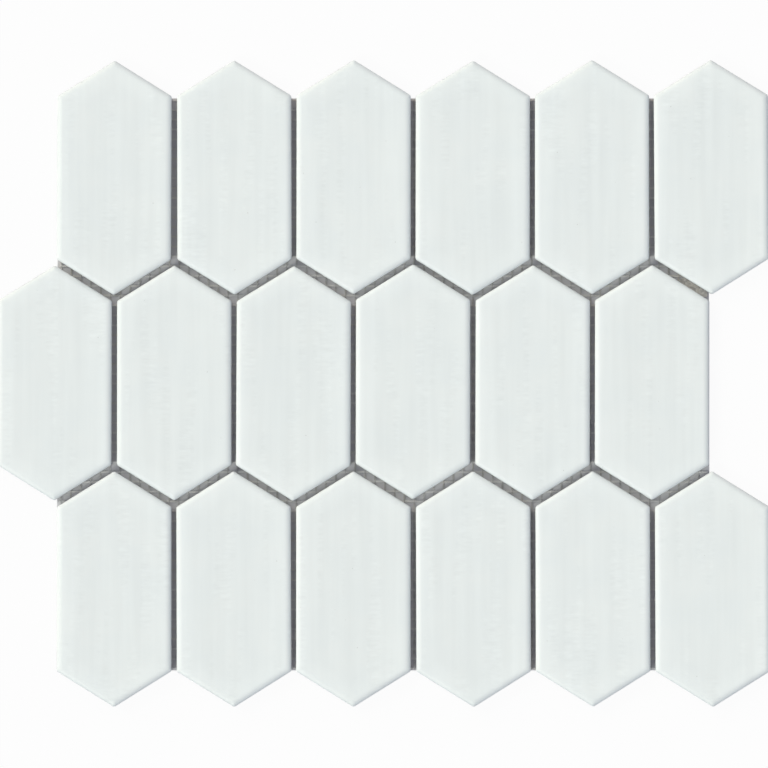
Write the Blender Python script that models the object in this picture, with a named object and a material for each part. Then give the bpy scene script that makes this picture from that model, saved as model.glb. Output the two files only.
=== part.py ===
"""Picket mosaic sheet: glazed porcelain picket tiles held in staggered rows by one glass-fibre net.

Metres, +Z up. The sheet lies face up, its rows along X. The origin is at the middle of the sheet,
on the plane that the underside of the net lies on.
"""
from math import cos, pi, radians, sin, tan

import bmesh
import bpy
from mathutils import Vector

MM = 0.001

# One tile: a hexagon drawn out along Y, with two long sides and two slanted flanks at each end.
TILE_WIDTH = 45.2 * MM
TILE_LENGTH = 93.2 * MM
TILE_THICKNESS = 6.0 * MM
FLANK_ANGLE = radians(32.0)
CORNER_RADIUS = 1.0 * MM

# The edge of the face falls away in a quarter of an ellipse, and the wall below it tapers inwards.
EDGE_WIDTH = 2.5 * MM
EDGE_DEPTH = 1.2 * MM
WALL_DRAFT = 0.3 * MM

# Keying grooves pressed into the back.
GROOVE_COUNT = 5
GROOVE_DEPTH = 0.5 * MM
RIB_WIDTH = 2.5 * MM
BACK_MARGIN = 3.0 * MM

# How the tiles are laid out. The flank joint is measured square to the flanks.
ROW_NAMES = ("top", "middle", "bottom")
COLUMNS = 6
SIDE_JOINT = 2.05 * MM
FLANK_JOINT = 2.7 * MM

# The net: one layer of strands along the rows, and a second layer across them on top of it.
STRAND_WIDTH = 1.0 * MM
STRAND_THICKNESS = 0.25 * MM
STRANDS_PER_TILE = 4
STRANDS_PER_ROW = 7
NET_SETBACK = 1.5 * MM
BAND_GAP = 0.3 * MM
GLUE_GAP = 0.3 * MM

# Facets of a rounded corner and of the edge's curve.
CORNER_STEPS = 2
EDGE_STEPS = 4

# Sizes that follow from the ones above.
FLANK_SLOPE = tan(FLANK_ANGLE)
COLUMN_PITCH = TILE_WIDTH + SIDE_JOINT
ROW_PITCH = TILE_LENGTH - FLANK_SLOPE * COLUMN_PITCH / 2 + FLANK_JOINT / cos(FLANK_ANGLE)
NET_THICKNESS = 2 * STRAND_THICKNESS
TILE_BASE = NET_THICKNESS + GLUE_GAP


def clear_scene():
    for item in list(bpy.data.objects):
        bpy.data.objects.remove(item, do_unlink=True)


def material(name, color, roughness):
    finish = bpy.data.materials.new(name)
    finish.use_nodes = True
    shader = finish.node_tree.nodes["Principled BSDF"]
    shader.inputs["Base Color"].default_value = (*color, 1.0)
    shader.inputs["Roughness"].default_value = roughness
    shader.inputs["Metallic"].default_value = 0.0
    return finish


def mesh_from(name, bm):
    """Turn a bmesh into a mesh whose faces point outwards."""
    bmesh.ops.recalc_face_normals(bm, faces=bm.faces)
    mesh = bpy.data.meshes.new(name)
    bm.to_mesh(mesh)
    bm.free()
    return mesh


def add_object(name, mesh, parent=None):
    item = bpy.data.objects.new(name, mesh)
    item.parent = parent
    bpy.context.collection.objects.link(item)
    return item


def add_cutter(name, mesh):
    """A shape that only cuts or adds to another one."""
    cutter = add_object(name, mesh)
    cutter.hide_render = True
    cutter.display_type = "WIRE"
    return cutter


def add_boolean(item, operation, cutter):
    step = item.modifiers.new(operation.title(), "BOOLEAN")
    step.operation = operation
    step.solver = "EXACT"
    step.object = cutter


def add_prism(bm, outline, bottom, top):
    """Extrude a plan outline from one height to another."""
    face = bm.faces.new([bm.verts.new((x, y, bottom)) for x, y in outline])
    lifted = bmesh.ops.extrude_face_region(bm, geom=[face])["geom"]
    corners = [part for part in lifted if isinstance(part, bmesh.types.BMVert)]
    bmesh.ops.translate(bm, verts=corners, vec=(0.0, 0.0, top - bottom))


def apex_reach(inset):
    """Distance from a tile's centre to its apex, with every side moved in by inset."""
    return TILE_LENGTH / 2 - inset / cos(FLANK_ANGLE)


def picket_corners(inset):
    """The six sharp corners of a tile's outline, with every side moved in by inset."""
    side = TILE_WIDTH / 2 - inset
    apex = apex_reach(inset)
    shoulder = apex - side * FLANK_SLOPE
    return [
        Vector((side, -shoulder)),
        Vector((side, shoulder)),
        Vector((0.0, apex)),
        Vector((-side, shoulder)),
        Vector((-side, -shoulder)),
        Vector((0.0, -apex)),
    ]


def rounded(corners, radius, steps):
    """Replace each corner by an arc that touches both of its sides."""
    points = []
    for index, corner in enumerate(corners):
        to_last = (corners[index - 1] - corner).normalized()
        to_next = (corners[(index + 1) % len(corners)] - corner).normalized()
        half_angle = to_last.angle(to_next) / 2
        centre = corner + (to_last + to_next).normalized() * radius / sin(half_angle)
        start = corner + to_last * radius / tan(half_angle) - centre
        end = corner + to_next * radius / tan(half_angle) - centre
        for step in range(steps + 1):
            spoke = start.lerp(end, step / steps).normalized() * radius
            points.append(centre + spoke)
    return points


def edge_profile():
    """Inset and height of each ring of the tile, from its back to the flat of its face."""
    rings = [(WALL_DRAFT, 0.0)]
    for step in range(EDGE_STEPS + 1):
        turn = pi / 2 * step / EDGE_STEPS
        inset = EDGE_WIDTH * (1 - cos(turn))
        height = TILE_THICKNESS - EDGE_DEPTH * (1 - sin(turn))
        rings.append((inset, height))
    return rings


def tile_body():
    """The tile without its grooves: outlines stacked up the profile and bridged."""
    bm = bmesh.new()
    loops = []
    for inset, height in edge_profile():
        outline = rounded(picket_corners(inset), CORNER_RADIUS, CORNER_STEPS)
        verts = [bm.verts.new((x, y, height)) for x, y in outline]
        edges = [bm.edges.new((vert, verts[index - 1])) for index, vert in enumerate(verts)]
        loops.append((verts, edges))
    for (_, lower), (_, upper) in zip(loops, loops[1:]):
        bmesh.ops.bridge_loops(bm, edges=lower + upper)
    bm.faces.new(loops[0][0])
    bm.faces.new(loops[-1][0])
    return mesh_from("tile_body", bm)


def groove_blocks():
    """Blocks that press the keying grooves, each ending short of the tile's flanks."""
    bm = bmesh.new()
    reach = TILE_WIDTH / 2 - BACK_MARGIN
    apex = apex_reach(BACK_MARGIN)
    width = (2 * reach - (GROOVE_COUNT - 1) * RIB_WIDTH) / GROOVE_COUNT
    for index in range(GROOVE_COUNT):
        left = -reach + index * (width + RIB_WIDTH)
        right = left + width
        stations = [left, right]
        if left < 0.0 < right:
            stations.insert(1, 0.0)
        ends = [(x, apex - abs(x) * FLANK_SLOPE) for x in stations]
        outline = [(x, -y) for x, y in ends] + [(x, y) for x, y in reversed(ends)]
        add_prism(bm, outline, -GROOVE_DEPTH, GROOVE_DEPTH)
    return mesh_from("groove_blocks", bm)


def picket_tile():
    """The mesh that every tile shares."""
    body = add_object("tile_blank", tile_body())
    blocks = add_cutter("groove_blocks", groove_blocks())
    add_boolean(body, "DIFFERENCE", blocks)
    bpy.context.view_layer.update()
    pressed = body.evaluated_get(bpy.context.evaluated_depsgraph_get())
    mesh = bpy.data.meshes.new_from_object(pressed)
    mesh.name = "picket_tile"
    mesh.shade_smooth()
    mesh.set_sharp_from_angle(angle=radians(40.0))
    bpy.data.objects.remove(body)
    bpy.data.objects.remove(blocks)
    return mesh


def leans_right(row):
    """The outer rows stick out past the right end of the sheet, the middle row past the left."""
    return row % 2 == 0


def row_height(row):
    return ((len(ROW_NAMES) - 1) / 2 - row) * ROW_PITCH


def column_place(row, column):
    shift = COLUMN_PITCH / 4 if leans_right(row) else -COLUMN_PITCH / 4
    return (column - (COLUMNS - 1) / 2) * COLUMN_PITCH + shift


def net_edge(row, up):
    """One edge of a band of net, from left to right: a zigzag, or a cut between two rows."""
    side = TILE_WIDTH / 2 - NET_SETBACK
    apex = apex_reach(NET_SETBACK)
    shoulder = apex - side * FLANK_SLOPE
    first = column_place(row, 0)
    last = column_place(row, COLUMNS - 1)
    outer_row = 0 if up > 0 else len(ROW_NAMES) - 1
    if row == outer_row:
        points = [(first - side, shoulder), (first, apex)]
        for column in range(1, COLUMNS):
            place = column_place(row, column)
            points.append((place - COLUMN_PITCH / 2, apex - COLUMN_PITCH / 2 * FLANK_SLOPE))
            points.append((place, apex))
        points.append((last + side, shoulder))
    else:
        cut = ROW_PITCH / 2 - BAND_GAP / 2
        flank = (apex - cut) / FLANK_SLOPE
        if leans_right(row):
            points = [(first - side, cut), (last + flank, cut), (last + side, shoulder)]
        else:
            points = [(first - side, shoulder), (first - flank, cut), (last + side, cut)]
    return [(x, row_height(row) + up * y) for x, y in points]


def strands_along(row):
    """The lower layer: strands along the row, longer than the band."""
    bm = bmesh.new()
    left = column_place(row, 0) - COLUMN_PITCH
    right = column_place(row, COLUMNS - 1) + COLUMN_PITCH
    for index in range(STRANDS_PER_ROW):
        place = row_height(row) + ((index + 0.5) / STRANDS_PER_ROW - 0.5) * ROW_PITCH
        low = place - STRAND_WIDTH / 2
        high = place + STRAND_WIDTH / 2
        add_prism(bm, [(left, low), (right, low), (right, high), (left, high)], 0.0, STRAND_THICKNESS)
    return mesh_from("strands_along", bm)


def strands_across(row):
    """The upper layer: strands up and down, one on the middle line of each tile."""
    bm = bmesh.new()
    bottom = row_height(row) - TILE_LENGTH
    top = row_height(row) + TILE_LENGTH
    margin = (STRANDS_PER_TILE - 1) // 2
    for index in range(-margin, (COLUMNS - 1) * STRANDS_PER_TILE + margin + 1):
        place = column_place(row, 0) + index * COLUMN_PITCH / STRANDS_PER_TILE
        left = place - STRAND_WIDTH / 2
        right = place + STRAND_WIDTH / 2
        outline = [(left, bottom), (right, bottom), (right, top), (left, top)]
        add_prism(bm, outline, STRAND_THICKNESS, NET_THICKNESS)
    return mesh_from("strands_across", bm)


def band_outline(row):
    bm = bmesh.new()
    outline = net_edge(row, -1) + list(reversed(net_edge(row, 1)))
    add_prism(bm, outline, -NET_THICKNESS, 2 * NET_THICKNESS)
    return mesh_from("band_outline", bm)


def add_net_band(row, finish, parent):
    """The two layers fused where they cross, then cut to the band's outline."""
    name = ROW_NAMES[row]
    band = add_object(f"net_{name}", strands_along(row), parent)
    band.data.materials.append(finish)
    add_boolean(band, "UNION", add_cutter(f"across_{name}", strands_across(row)))
    add_boolean(band, "INTERSECT", add_cutter(f"outline_{name}", band_outline(row)))


def add_tiles(row, mesh, parent):
    for column in range(COLUMNS):
        tile = add_object(f"tile_{ROW_NAMES[row]}_{column + 1}", mesh, parent)
        tile.location = (column_place(row, column), row_height(row), TILE_BASE)


def build():
    clear_scene()
    glaze = material("white_glaze", color=(0.80, 0.83, 0.82), roughness=0.3)
    glass_fibre = material("glass_fibre", color=(0.62, 0.61, 0.60), roughness=0.8)
    sheet = add_object("sheet", None)
    tile = picket_tile()
    tile.materials.append(glaze)
    for row in range(len(ROW_NAMES)):
        add_tiles(row, tile, sheet)
        add_net_band(row, glass_fibre, sheet)


build()
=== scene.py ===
"""The finish of a picket mosaic sheet: glazed porcelain tiles on a leno-woven glass-fibre net.

Metres, +Z up, with the sheet face up on a pale floor and the camera nearly straight above it.
"""
import random
from math import cos, pi, radians, sin, tan

import bmesh
import bpy
from mathutils import Matrix, Vector, noise


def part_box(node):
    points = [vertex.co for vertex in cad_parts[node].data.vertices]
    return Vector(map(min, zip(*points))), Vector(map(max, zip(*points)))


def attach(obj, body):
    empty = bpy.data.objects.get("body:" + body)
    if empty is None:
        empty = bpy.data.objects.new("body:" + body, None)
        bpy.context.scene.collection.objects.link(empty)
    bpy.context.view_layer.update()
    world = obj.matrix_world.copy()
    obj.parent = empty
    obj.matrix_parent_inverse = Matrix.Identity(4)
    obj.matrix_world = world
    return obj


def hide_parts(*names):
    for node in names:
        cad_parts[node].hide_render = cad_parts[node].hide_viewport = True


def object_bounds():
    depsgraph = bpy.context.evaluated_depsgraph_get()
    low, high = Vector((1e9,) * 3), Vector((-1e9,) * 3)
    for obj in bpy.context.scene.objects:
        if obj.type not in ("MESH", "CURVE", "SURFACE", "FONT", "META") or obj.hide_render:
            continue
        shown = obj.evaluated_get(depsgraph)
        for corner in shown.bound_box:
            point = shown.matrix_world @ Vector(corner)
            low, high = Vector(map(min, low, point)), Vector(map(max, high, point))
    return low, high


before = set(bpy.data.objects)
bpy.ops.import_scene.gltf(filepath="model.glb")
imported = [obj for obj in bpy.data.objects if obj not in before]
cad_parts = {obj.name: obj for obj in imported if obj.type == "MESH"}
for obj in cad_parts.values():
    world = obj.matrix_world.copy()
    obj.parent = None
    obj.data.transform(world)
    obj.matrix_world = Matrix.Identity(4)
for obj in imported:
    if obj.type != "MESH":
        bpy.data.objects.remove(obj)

CAD_BOX = [list(corner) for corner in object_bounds()]

MM = 0.001

# The sheet's rows of tiles, and how many tiles each has.
ROW_NAMES = ("top", "middle", "bottom")
COLUMNS = 6

# The tile's shape. Its width, length, height and place are read from the frame.
FLANK_ANGLE = radians(32.0)
FLANK_SLOPE = tan(FLANK_ANGLE)
CORNER_RADIUS = 1.0 * MM
CORNER_BEVEL = 0.6 * MM
CORNER_SEGMENTS = 5
EDGE_WIDTH = 2.5 * MM
EDGE_DEPTH = 1.2 * MM
EDGE_STEPS = 9
WALL_DRAFT = 0.3 * MM
DISH_DEPTH = 0.08 * MM
DISH_START = 3.5 * MM
DISH_END = 13.0 * MM
DISH_STEPS = 5

# Keying grooves in the back.
GROOVE_COUNT = 5
GROOVE_DEPTH = 0.5 * MM
GROOVE_DRAFT = 0.25 * MM
RIB_WIDTH = 2.5 * MM
BACK_MARGIN = 3.0 * MM

# The glaze. It ends on the wall, between two heights over the tile's back and in places higher by
# its run. Painted shade darkens it over the rounded edge, and painted light brightens a band
# inside that; each fades out between two distances from the tile's outline.
GLAZE_END_MM = (2.9, 3.1)
GLAZE_RUN_MM = 1.2
GLAZE_THICKNESS_MM = 0.08
PAINTED_EDGE_SHADE_MM = (0.3, 2.8)
PAINTED_RIM_LIGHT_MM = (3.0, 10.0)

# The farthest that a tile's seed moves the patterns of glaze and clay.
PATTERN_SHIFT_MM = (420.0, 170.0, 0.0)

# How far a tile sits out of line on its net: along the row, across it, and turned. All three are
# drawn at random from this seed, and so is each tile's part of the patterns.
NUDGE_ALONG = 0.19 * MM
NUDGE_ACROSS = 0.4 * MM
TURN = radians(0.3)
DRAW_SEED = 749731

# The net, as fine as the real one. Its warps are out of step with the tiles.
WARP_PITCH = 3.876 * MM
WARP_SHIFT = 0.62 * MM
WEFTS_PER_ROW = 21
NET_SETBACK = 0.6 * MM
NET_MIDDLE = 0.25 * MM
WARP_RADIUS = 0.17 * MM
WARP_SWING = 0.22 * MM
WARP_LIFT = 0.14 * MM
WARP_FLATNESS = 0.6
WEFT_RADIUS = 0.42 * MM
WEFT_FLATNESS = 0.25
STRAND_WANDER = 0.15 * MM
WANDER_LENGTH = 9.0 * MM
STEPS_PER_WEFT = 3
STEPS_PER_WARP = 2
YARN_ROUNDNESS = 1

# Where each finish stands in the net's list of materials.
WARP_SLOT = 0
WEFT_SLOT = 1
FILM_SLOT = 2

# A patch of old glue on the net, at the right end of the joint between top and middle row. The
# stain fades between two distances from its middle. The film fills the meshes along the joint.
STAIN_PLACE_MM = (122.7, 37.8, 0.0)
STAIN_FADE_MM = (3.0, 12.0)
FILM_LENGTH = 12.5 * MM
FILM_WIDTH = 7.0 * MM
FILM_THICKNESS = 0.08 * MM
FILM_RAGGEDNESS = 0.15
FILM_LOBES = 6.0
FILM_CORNERS = 40

# Edges that turn by more than these angles stay sharp.
TILE_CREASE = radians(35.0)
NET_CREASE = radians(50.0)

# The floor: half its side, its gap under the sheet, and how much of what the camera sees of it
# is plain white.
FLOOR_REACH = 6.0
FLOOR_GAP = 0.1 * MM
FLOOR_WHITENESS = 0.95

# The photograph: its side in pixels, its width on the sheet, and the sheet's middle in it.
PHOTO_SIDE = 768
PHOTO_WIDTH = 303.3 * MM
SHEET_MIDDLE_PX = (383.25, 382.45)

# The camera. It leans towards the sheet's lower edge.
CAMERA_TILT = radians(4.5)
LENS = 500.0
NEAREST = 0.1
FARTHEST = 100.0

# Light: a cool dome, and three soft far lamps on the left, each with its turn from straight
# left, its height, spread, strength and colour.
DOME_COLOR = (0.77, 0.80, 1.0, 1.0)
DOME_STRENGTH = 0.38
KEYS = (
    (radians(44.0), radians(30.0), radians(46.0), 1.36, (1.0, 0.88, 0.70)),
    (radians(20.0), radians(49.0), radians(26.0), 0.82, (0.95, 1.0, 0.94)),
    (radians(-46.0), radians(50.0), radians(24.0), 1.18, (0.98, 1.0, 0.93)),
)

# The sockets of a Mix node on colours.
MIX_FACTOR = 0
MIX_FIRST = 6
MIX_SECOND = 7
MIX_RESULT = 2


class Value:
    """A socket in a node tree. Arithmetic on it adds Math nodes."""

    def __init__(self, finish, socket):
        self.finish = finish
        self.socket = socket

    def math(self, operation, *others):
        inputs = dict(enumerate((self, *others)))
        return self.finish.node("ShaderNodeMath", {"operation": operation}, inputs)

    def swapped(self, operation, other):
        return self.finish.node("ShaderNodeMath", {"operation": operation}, {0: other, 1: self})

    def vector_math(self, operation, *others):
        inputs = dict(enumerate((self, *others)))
        return self.finish.node("ShaderNodeVectorMath", {"operation": operation}, inputs)

    def __add__(self, other):
        return self.math("ADD", other)

    def __mul__(self, other):
        return self.math("MULTIPLY", other)

    def __sub__(self, other):
        return self.math("SUBTRACT", other)

    def __rsub__(self, other):
        return self.swapped("SUBTRACT", other)

    __radd__ = __add__
    __rmul__ = __mul__

    def between(self, low, high):
        """0 below low, 1 above high, and a smooth rise from one to the other."""
        settings = {"interpolation_type": "SMOOTHSTEP"}
        inputs = {"Value": self, "From Min": low, "From Max": high}
        return self.finish.node("ShaderNodeMapRange", settings, inputs)


class Finish:
    """The nodes of a material, or of the world, while they are being built."""

    def __init__(self, owner):
        self.owner = owner
        owner.use_nodes = True
        self.tree = owner.node_tree
        self.tree.nodes.clear()

    def node(self, kind, settings=None, inputs=None, output=0):
        """A new node of any kind, as the value of one of its outputs."""
        made = self.tree.nodes.new(kind)
        for name, value in (settings or {}).items():
            setattr(made, name, value)
        for key, value in (inputs or {}).items():
            if isinstance(value, Value):
                self.tree.links.new(value.socket, made.inputs[key])
            else:
                made.inputs[key].default_value = value
        return Value(self, made.outputs[output]) if made.outputs else None

    def place_mm(self):
        """Object coordinates in millimetres."""
        place = self.node("ShaderNodeTexCoord", output="Object")
        return self.node("ShaderNodeMapping", None, {"Vector": place, "Scale": (1 / MM,) * 3})

    def axis(self, place, name):
        """X, Y or Z of a place."""
        return self.node("ShaderNodeSeparateXYZ", None, {"Vector": place}, output=name)

    def attribute(self, name):
        return self.node("ShaderNodeAttribute", {"attribute_name": name}, output="Fac")

    def noise(self, place, scale, detail=2.0):
        inputs = {"Vector": place, "Scale": scale, "Detail": detail}
        return self.node("ShaderNodeTexNoise", None, inputs)

    def blend(self, factor, first, second):
        """A mix of two colours."""
        inputs = {MIX_FACTOR: factor, MIX_FIRST: first, MIX_SECOND: second}
        return self.node("ShaderNodeMix", {"data_type": "RGBA"}, inputs, output=MIX_RESULT)

    def blend_shaders(self, factor, first, second):
        return self.node("ShaderNodeMixShader", None, {0: factor, 1: first, 2: second})

    def bump(self, height_mm):
        return self.node("ShaderNodeBump", None, {"Height": height_mm, "Distance": MM})

    def surface(self, inputs):
        shader = self.node("ShaderNodeBsdfPrincipled", None, inputs)
        self.node("ShaderNodeOutputMaterial", None, {"Surface": shader})
        return self.owner

    def seen_directly(self):
        """1 for camera, glossy and transmission rays, and 0 for the rays that light things."""
        camera, glossy, transmission = (
            self.node("ShaderNodeLightPath", output=f"Is {kind} Ray")
            for kind in ("Camera", "Glossy", "Transmission")
        )
        return (camera + glossy + transmission).math("MINIMUM", 1.0)


def tile_finish(back_height):
    """Glaze on the face and over its edge, bare porcelain on the walls and the back."""
    finish = Finish(bpy.data.materials.new("glazed_porcelain"))
    seed = finish.attribute("tile_seed")
    inset = finish.attribute("edge_distance_mm")
    place = finish.place_mm()
    height = finish.axis(place, "Z") - back_height / MM
    place = seed.vector_math("MULTIPLY_ADD", PATTERN_SHIFT_MM, place)

    # Glaze ends in an uneven line part way down the wall.
    run = finish.noise(place, 0.45)
    glazed = (height - run * GLAZE_RUN_MM).between(*GLAZE_END_MM)

    # Faint streaks along the tile, and short ripples across it, in columns.
    streaks = finish.noise(place.vector_math("MULTIPLY", (1.0, 0.05, 1.0)), 0.28, 3.0) - 0.5
    columns = finish.noise(place.vector_math("MULTIPLY", (1.0, 0.12, 1.0)), 0.22, 1.0)
    columns = columns.between(0.5, 0.65)
    ripples = finish.noise(place.vector_math("MULTIPLY", (0.3, 1.0, 1.0)), 0.8, 1.0) - 0.5
    peel = finish.noise(place, 0.3)
    clouds = finish.noise(place, 0.06)
    pinhole = finish.node("ShaderNodeTexVoronoi", None, {"Vector": place, "Scale": 0.13})
    pinhole = 1.0 - pinhole.between(0.015, 0.03)
    # Painted light: a paler band on the face just inside its edge.
    painted_rim_light = 1.0 - inset.between(*PAINTED_RIM_LIGHT_MM)
    # Painted shade: the glaze made darker over the rounded edge.
    painted_edge_shade = 1.0 - inset.between(*PAINTED_EDGE_SHADE_MM)

    cool = (0.782, 0.829, 0.813, 1.0)
    warm = (0.786, 0.829, 0.809, 1.0)
    glaze = finish.blend(clouds.between(0.35, 0.65), cool, warm)
    marks = streaks * 0.10 + columns * ripples * 0.12 + (clouds - 0.5) * 0.055
    # The glaze's tone: its marks and each tile's own tone, with the painted light and painted
    # shade near the edge.
    shade = 0.998 + marks + painted_rim_light * 0.032 - painted_edge_shade * 0.045 + seed * 0.008
    glaze = finish.node("ShaderNodeVectorMath", {"operation": "SCALE"}, {0: glaze, "Scale": shade})
    glaze = finish.blend(pinhole * 0.55, glaze, (0.40, 0.40, 0.38, 1.0))

    grain = finish.noise(place, 3.0, 4.0)
    patches = finish.noise(place, 0.12)
    dull = (0.60, 0.60, 0.59, 1.0)
    pale = (0.66, 0.655, 0.64, 1.0)
    bisque = finish.blend(patches.between(0.3, 0.7), dull, pale)
    bisque = finish.blend(grain.between(0.4, 0.75) * 0.35, bisque, (0.46, 0.45, 0.43, 1.0))

    ridges = peel * 0.008 + columns * ripples * 0.01 + streaks * 0.01 - pinhole * 0.06
    relief = ridges * glazed + grain * 0.05 * (1.0 - glazed) + glazed * GLAZE_THICKNESS_MM
    return finish.surface({
        "Base Color": finish.blend(glazed, bisque, glaze),
        "Roughness": 0.88 - glazed * (0.50 - peel * 0.06),
        "Specular IOR Level": 0.35,
        "Normal": finish.bump(relief),
    })


def yarn_finish(name, dark, light):
    """Glass fibre in a dull coat of size and dried glue."""
    finish = Finish(bpy.data.materials.new(name))
    place = finish.place_mm()
    fibres = finish.noise(place, 4.0, 3.0)
    coats = finish.noise(place, 0.3, 1.0)
    glue = finish.noise(place, 0.1).between(0.45, 0.65)
    strand = finish.blend((fibres + coats).between(0.75, 1.25), dark, light)
    strand = finish.blend(glue * 0.3, strand, (0.52, 0.49, 0.42, 1.0))
    settings = {"operation": "DISTANCE"}
    inputs = {0: place, 1: STAIN_PLACE_MM}
    from_stain = finish.node("ShaderNodeVectorMath", settings, inputs, output="Value")
    stain = 1.0 - from_stain.between(*STAIN_FADE_MM)
    return finish.surface({
        "Base Color": finish.blend(stain * 0.9, strand, (0.66, 0.63, 0.56, 1.0)),
        "Roughness": 0.75 - glue * 0.3,
        "Normal": finish.bump(fibres * 0.06),
    })


def film_finish():
    """Yellowed glue that has dried between the yarns."""
    finish = Finish(bpy.data.materials.new("dried_glue"))
    place = finish.place_mm()
    pools = finish.noise(place, 0.7).between(0.35, 0.65)
    return finish.surface({
        "Base Color": finish.blend(pools, (0.46, 0.44, 0.41, 1.0), (0.74, 0.72, 0.67, 1.0)),
        "Roughness": 0.65 - pools * 0.2,
        "Normal": finish.bump(pools * 0.05),
    })


def floor_finish():
    """White, shown nearly at full strength to the camera except where the sheet lies on it."""
    finish = Finish(bpy.data.materials.new("floor"))
    half_length = (frame_places["middle"][-1].x + tile_size.x / 2) / MM
    half_depth = (frame_places["top"][0].y + sharp_apex - column_pitch / 2 * FLANK_SLOPE) / MM
    place = finish.place_mm()
    x, y = (finish.axis(place, name).math("ABSOLUTE") for name in ("X", "Y"))
    under = x.math("LESS_THAN", half_length) * y.math("LESS_THAN", half_depth)
    lit = finish.node("ShaderNodeBsdfDiffuse", None, {"Color": (0.67, 0.67, 0.68, 1.0)})
    white = finish.node("ShaderNodeEmission", None, {"Strength": 1.0})
    whiteness = finish.seen_directly() * (1.0 - under) * FLOOR_WHITENESS
    shader = finish.blend_shaders(whiteness, lit, white)
    finish.node("ShaderNodeOutputMaterial", None, {"Surface": shader})
    return finish.owner


def add_piece(name, bm, *finishes):
    """Turn a bmesh into a piece of the sheet, with its finishes in order."""
    mesh = bpy.data.meshes.new(name)
    bm.to_mesh(mesh)
    bm.free()
    for finish in finishes:
        mesh.materials.append(finish)
    piece = bpy.data.objects.new(name, mesh)
    bpy.context.collection.objects.link(piece)
    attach(piece, "root")
    return piece


def apex_reach(inset):
    """How far a tile's apex is from its middle, with every side moved in by inset."""
    return sharp_apex - inset / cos(FLANK_ANGLE)


def picket_corners(inset):
    """The six corners of a tile's outline, with every side moved in by inset."""
    side = tile_size.x / 2 - inset
    apex = apex_reach(inset)
    shoulder = apex - side * FLANK_SLOPE
    ends = [(side, shoulder), (0.0, apex), (-side, shoulder)]
    return [(side, -shoulder)] + ends + [(-side, -shoulder), (0.0, -apex)]


def edge_distance(place):
    """How far a place lies inside the nearest of the outline's six sides."""
    from_side = tile_size.x / 2 - abs(place.x)
    from_flank = (sharp_apex - abs(place.y)) * cos(FLANK_ANGLE) - abs(place.x) * sin(FLANK_ANGLE)
    return min(from_side, from_flank)


def tile_profile():
    """Inset and height of each ring, from the back, up the wall and over the edge to the face."""
    rings = [(BACK_MARGIN, 0.0), (WALL_DRAFT, 0.0)]
    for step in range(EDGE_STEPS + 1):
        turn = pi / 2 * step / EDGE_STEPS
        inset = EDGE_WIDTH * (1 - cos(turn))
        rings.append((inset, tile_size.z - EDGE_DEPTH * (1 - sin(turn))))
    for step in range(1, DISH_STEPS + 1):
        share = step / DISH_STEPS
        sunk = DISH_DEPTH * (1 - cos(pi * share)) / 2
        rings.append((DISH_START + share * (DISH_END - DISH_START), tile_size.z - sunk))
    return rings


def picket_blank():
    """A tile around its own middle, its back at z = 0."""
    bm = bmesh.new()
    rings = []
    for inset, height in tile_profile():
        verts = [bm.verts.new((x, y, height)) for x, y in picket_corners(inset)]
        rings.append([bm.edges.new((vert, verts[index - 1])) for index, vert in enumerate(verts)])
    for lower, upper in zip(rings, rings[1:]):
        bmesh.ops.bridge_loops(bm, edges=lower + upper)
    ring_edges = {edge for ring in rings for edge in ring}
    mitres = [edge for edge in bm.edges if edge not in ring_edges]
    bmesh.ops.bevel(
        bm, geom=mitres, offset=CORNER_BEVEL, offset_type="OFFSET", segments=CORNER_SEGMENTS,
        profile=0.5, affect="EDGES", material=-1, clamp_overlap=True,
    )
    open_edges = [edge for edge in bm.edges if edge.is_boundary]
    caps = bmesh.ops.holes_fill(bm, edges=open_edges)["faces"]
    bmesh.ops.recalc_face_normals(bm, faces=bm.faces)
    press_grooves(bm, next(face for face in caps if face.normal.z < 0))
    bmesh.ops.recalc_face_normals(bm, faces=bm.faces)
    inset = bm.verts.layers.float.new("edge_distance_mm")
    for vert in bm.verts:
        vert.co.z = min(vert.co.z, tile_size.z)
        vert[inset] = edge_distance(vert.co) / MM
    return bm


def press_grooves(bm, back):
    """Cut the back into strips and press every other one in."""
    reach = tile_size.x / 2 - BACK_MARGIN
    width = (2 * reach - (GROOVE_COUNT - 1) * RIB_WIDTH) / GROOVE_COUNT
    lines = []
    for index in range(GROOVE_COUNT):
        left = -reach + index * (width + RIB_WIDTH)
        lines += [left, left + width]
    strips = [back]
    for line in lines[1:-1]:
        parts = set(strips)
        for face in strips:
            parts.update(face.edges, face.verts)
        cut = bmesh.ops.bisect_plane(
            bm, geom=list(parts), plane_co=(line, 0.0, 0.0), plane_no=(1.0, 0.0, 0.0)
        )
        strips = [part for part in cut["geom"] if isinstance(part, bmesh.types.BMFace)]
    grooves = []
    for strip in strips:
        middle = strip.calc_center_bounds().x
        if any(low < middle < high for low, high in zip(lines[::2], lines[1::2])):
            grooves.append(strip)
    bmesh.ops.inset_individual(
        bm, faces=grooves, thickness=GROOVE_DRAFT, depth=-GROOVE_DEPTH, use_even_offset=True
    )


def smooth_but_for(mesh, angle):
    """Smooth shading, but for the edges that turn by more than the angle."""
    mesh.shade_smooth()
    mesh.set_sharp_from_angle(angle=angle)


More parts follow.
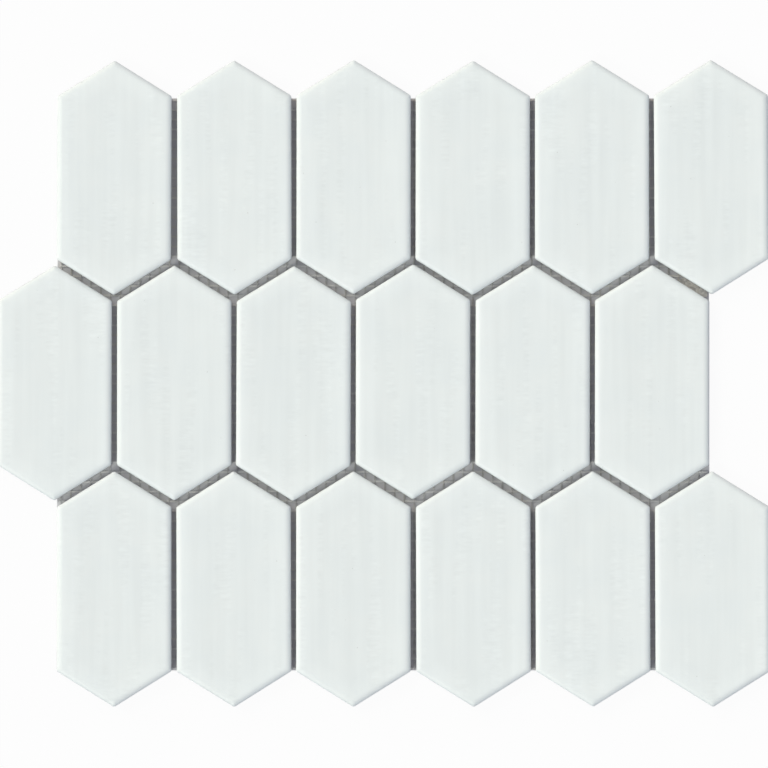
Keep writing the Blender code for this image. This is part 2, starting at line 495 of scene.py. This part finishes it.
def lay_tile(name, blank, finish, draw):
    """A copy of the blank where the frame has the tile, a little out of line but inside the
    sheet's outline."""
    low, high = (Vector(corner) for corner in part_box(name))
    along = draw.uniform(-NUDGE_ALONG, NUDGE_ALONG)
    across = draw.uniform(-NUDGE_ACROSS, NUDGE_ACROSS)
    place = Matrix.Translation((low + high) / 2 + Vector((along, across, 0.0)))
    place.translation.z = low.z
    bm = blank.copy()
    bm.transform(place @ Matrix.Rotation(draw.uniform(-TURN, TURN), 4, "Z"))
    past = Vector((0.0, 0.0, 0.0))
    for axis in (0, 1):
        reach = [vert.co[axis] for vert in bm.verts]
        past_low = min(min(reach) - CAD_BOX[0][axis], 0.0)
        past_high = max(max(reach) - CAD_BOX[1][axis], 0.0)
        past[axis] = past_low + past_high
    bmesh.ops.translate(bm, verts=bm.verts, vec=-past)
    tile = add_piece(f"glazed_{name}", bm, finish)
    seed = tile.data.attributes.new("tile_seed", "FLOAT", "POINT")
    seed.data.foreach_set("value", [draw.random()] * len(tile.data.vertices))
    smooth_but_for(tile.data, TILE_CREASE)
    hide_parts(name)


def band_outline(row):
    """The outline of the net under one row, back to back with the next row's."""
    places = frame_places[ROW_NAMES[row]]
    side = tile_size.x / 2 - NET_SETBACK
    apex = apex_reach(NET_SETBACK)
    shoulder = apex - side * FLANK_SLOPE
    valley = apex - column_pitch / 2 * FLANK_SLOPE
    cut = row_pitch / 2
    flank = (apex - cut) / FLANK_SLOPE
    first, last = places[0], places[-1]
    leans_right = first.x + last.x > 0
    outline = []
    for up in (-1, 1):
        outer_row = 0 if up > 0 else len(ROW_NAMES) - 1
        if row == outer_row:
            edge = [(first.x - side, shoulder), (first.x, apex)]
            for place in places[1:]:
                edge += [(place.x - column_pitch / 2, valley), (place.x, apex)]
            edge.append((last.x + side, shoulder))
        elif leans_right:
            edge = [(first.x - side, cut), (last.x + flank, cut), (last.x + side, shoulder)]
        else:
            edge = [(first.x - side, shoulder), (first.x - flank, cut), (last.x + side, cut)]
        edge = [Vector((x, first.y + up * y)) for x, y in edge]
        outline += edge if up < 0 else reversed(edge)
    return outline


def spans(outline, across, place):
    """Where a straight line inside the outline starts and ends. across is 0 for a line of
    constant x and 1 for one of constant y."""
    crossings = []
    for start, end in zip(outline, outline[1:] + outline[:1]):
        if (start[across] > place) != (end[across] > place):
            share = (place - start[across]) / (end[across] - start[across])
            crossings.append(start[1 - across] + share * (end[1 - across] - start[1 - across]))
    crossings.sort()
    return list(zip(crossings[::2], crossings[1::2]))


def wander(x, y):
    """How far a yarn strays sideways at a place."""
    return STRAND_WANDER * noise.noise(Vector((x, y, 0.0)) / WANDER_LENGTH)


def stations(start, end, step):
    """Points from start to end that fall on whole steps in between."""
    first = int(start // step) + 1
    last = int(end // step)
    return [start] + [index * step for index in range(first, last + 1)] + [end]


def warp_yarns(outline):
    """Two yarns for each warp, wound round each other half a turn from weft to weft."""
    weft_pitch = row_pitch / WEFTS_PER_ROW
    yarns = []
    left = min(corner.x for corner in outline)
    right = max(corner.x for corner in outline)
    for step in stations(left - WARP_SHIFT, right - WARP_SHIFT, WARP_PITCH)[1:-1]:
        x = step + WARP_SHIFT
        for start, end in spans(outline, 0, x):
            for side in (-1, 1):
                points = []
                for y in stations(start, end, weft_pitch / STEPS_PER_WEFT):
                    turn = pi * y / weft_pitch
                    swing = side * WARP_SWING * sin(turn)
                    lift = side * WARP_LIFT * cos(turn)
                    points.append((x + wander(x, y) + swing, y, lift))
                yarns.append(points)
    return yarns


def weft_yarns(row, outline):
    """One flat yarn for each weft."""
    middle = frame_places[ROW_NAMES[row]][0].y
    pitch = row_pitch / WEFTS_PER_ROW
    yarns = []
    for index in range(WEFTS_PER_ROW):
        y = middle + (index + 0.5 - WEFTS_PER_ROW / 2) * pitch
        for start, end in spans(outline, 1, y):
            places = stations(start, end, WARP_PITCH / STEPS_PER_WARP)
            yarns.append([(x, y + wander(x, y), 0.0) for x in places])
    return yarns


def tubes(name, yarns, radius, flatness, slot):
    """Round tubes along the yarns, pressed flat, as a mesh."""
    curve = bpy.data.curves.new(name, "CURVE")
    curve.dimensions = "3D"
    curve.bevel_depth = radius
    curve.bevel_resolution = YARN_ROUNDNESS
    curve.use_fill_caps = True
    for points in yarns:
        spline = curve.splines.new("POLY")
        spline.points.add(len(points) - 1)
        for point, (x, y, z) in zip(spline.points, points):
            point.co = (x, y, z / flatness, 1.0)
    guide = bpy.data.objects.new(name, curve)
    bpy.context.collection.objects.link(guide)
    bpy.context.view_layer.update()
    depsgraph = bpy.context.evaluated_depsgraph_get()
    mesh = bpy.data.meshes.new_from_object(guide.evaluated_get(depsgraph))
    bpy.data.objects.remove(guide)
    pressed = Matrix.Diagonal((1.0, 1.0, flatness, 1.0))
    mesh.transform(Matrix.Translation((0.0, 0.0, NET_MIDDLE)) @ pressed)
    mesh.polygons.foreach_set("material_index", [slot] * len(mesh.polygons))
    return mesh


def glue_film():
    """A ragged oval of little depth along the falling joint, half way up the net. It starts as a
    circle one across, so that the scale sets its length and width."""
    bm = bmesh.new()
    bmesh.ops.create_circle(bm, cap_ends=True, segments=FILM_CORNERS, radius=0.5)
    for vert in bm.verts:
        vert.co *= 1.0 - FILM_RAGGEDNESS * abs(noise.noise(vert.co * FILM_LOBES))
    bmesh.ops.scale(bm, verts=bm.verts, vec=(FILM_LENGTH, FILM_WIDTH, 1.0))
    bmesh.ops.solidify(bm, geom=bm.faces, thickness=FILM_THICKNESS)
    bmesh.ops.recalc_face_normals(bm, faces=bm.faces)
    x, y = STAIN_PLACE_MM[:2]
    place = Matrix.Translation((x * MM, y * MM, NET_MIDDLE))
    bm.transform(place @ Matrix.Rotation(-FLANK_ANGLE, 4, "Z"))
    for face in bm.faces:
        face.material_index = FILM_SLOT
    mesh = bpy.data.meshes.new("glue_film")
    bm.to_mesh(mesh)
    bm.free()
    return mesh


def weave_net(row, *finishes):
    """The net under one row. Its finishes come in the order of their slots."""
    outline = band_outline(row)
    bm = bmesh.new()
    bm.from_mesh(tubes("warps", warp_yarns(outline), WARP_RADIUS, WARP_FLATNESS, WARP_SLOT))
    bm.from_mesh(tubes("wefts", weft_yarns(row, outline), WEFT_RADIUS, WEFT_FLATNESS, WEFT_SLOT))
    name = ROW_NAMES[row]
    if name == "middle":
        bm.from_mesh(glue_film())
    net = add_piece(f"woven_net_{name}", bm, *finishes)
    smooth_but_for(net.data, NET_CREASE)
    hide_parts(f"net_{name}")


def add_floor():
    bm = bmesh.new()
    bmesh.ops.create_grid(bm, x_segments=1, y_segments=1, size=FLOOR_REACH)
    bmesh.ops.translate(bm, verts=bm.verts, vec=(0.0, 0.0, CAD_BOX[0][2] - FLOOR_GAP))
    mesh = bpy.data.meshes.new("floor")
    bm.to_mesh(mesh)
    bm.free()
    mesh.materials.append(floor_finish())
    floor = bpy.data.objects.new("floor", mesh)
    bpy.context.collection.objects.link(floor)


def light_world():
    world = bpy.data.worlds.new("studio")
    bpy.context.scene.world = world
    finish = Finish(world)
    inputs = {"Color": DOME_COLOR, "Strength": DOME_STRENGTH}
    dome = finish.node("ShaderNodeBackground", None, inputs)
    white = finish.node("ShaderNodeBackground", None, {"Color": (1.0, 1.0, 1.0, 1.0)})
    shown = finish.blend_shaders(finish.seen_directly(), dome, white)
    finish.node("ShaderNodeOutputWorld", None, {"Surface": shown})


def add_keys():
    for turn, height, spread, strength, color in KEYS:
        light = bpy.data.lights.new("key", "SUN")
        light.energy = strength
        light.angle = spread
        light.color = color
        towards = Vector((-cos(height) * cos(turn), cos(height) * sin(turn), sin(height)))
        lamp = bpy.data.objects.new("key", light)
        lamp.location = towards
        lamp.rotation_euler = towards.to_track_quat("Z", "Y").to_euler()
        bpy.context.collection.objects.link(lamp)


def add_camera():
    data = bpy.data.cameras.new("camera")
    data.lens = LENS
    data.clip_start = NEAREST
    data.clip_end = FARTHEST
    camera = bpy.data.objects.new("camera", data)
    bpy.context.collection.objects.link(camera)
    per_px = PHOTO_WIDTH / PHOTO_SIDE
    x = (PHOTO_SIDE / 2 - SHEET_MIDDLE_PX[0]) * per_px
    y = (SHEET_MIDDLE_PX[1] - PHOTO_SIDE / 2) * per_px
    distance = PHOTO_WIDTH * data.lens / data.sensor_width
    back = distance * sin(CAMERA_TILT)
    up = distance * cos(CAMERA_TILT)
    camera.location = (x, y - back, CAD_BOX[1][2] + up)
    camera.rotation_euler = (CAMERA_TILT, 0.0, 0.0)
    bpy.context.scene.camera = camera


def middle_of(node):
    low, high = (Vector(corner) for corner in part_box(node))
    return (low + high) / 2


# Sizes and places from the frame. The sharp apex is where a tile's flanks would meet without
# their rounding.
first_low, first_high = (Vector(corner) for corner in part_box("tile_top_1"))
tile_size = first_high - first_low
sharp_apex = tile_size.y / 2 + CORNER_RADIUS * (1 / cos(FLANK_ANGLE) - 1)
frame_places = {
    name: [middle_of(f"tile_{name}_{column + 1}") for column in range(COLUMNS)]
    for name in ROW_NAMES
}
column_pitch = frame_places["top"][1].x - frame_places["top"][0].x
row_pitch = frame_places["top"][0].y - frame_places["middle"][0].y

porcelain = tile_finish(first_low.z)
warp = yarn_finish("glass_fibre_warp", (0.46, 0.46, 0.45, 1.0), (0.66, 0.66, 0.65, 1.0))
weft = yarn_finish("glass_fibre_weft", (0.68, 0.68, 0.67, 1.0), (0.78, 0.78, 0.77, 1.0))
film = film_finish()
blank = picket_blank()
draw = random.Random(DRAW_SEED)
for row, row_name in enumerate(ROW_NAMES):
    weave_net(row, warp, weft, film)
    for column in range(COLUMNS):
        lay_tile(f"tile_{row_name}_{column + 1}", blank, porcelain, draw)
blank.free()

add_floor()
light_world()
add_keys()
add_camera()
bpy.context.scene.view_settings.view_transform = "Standard"
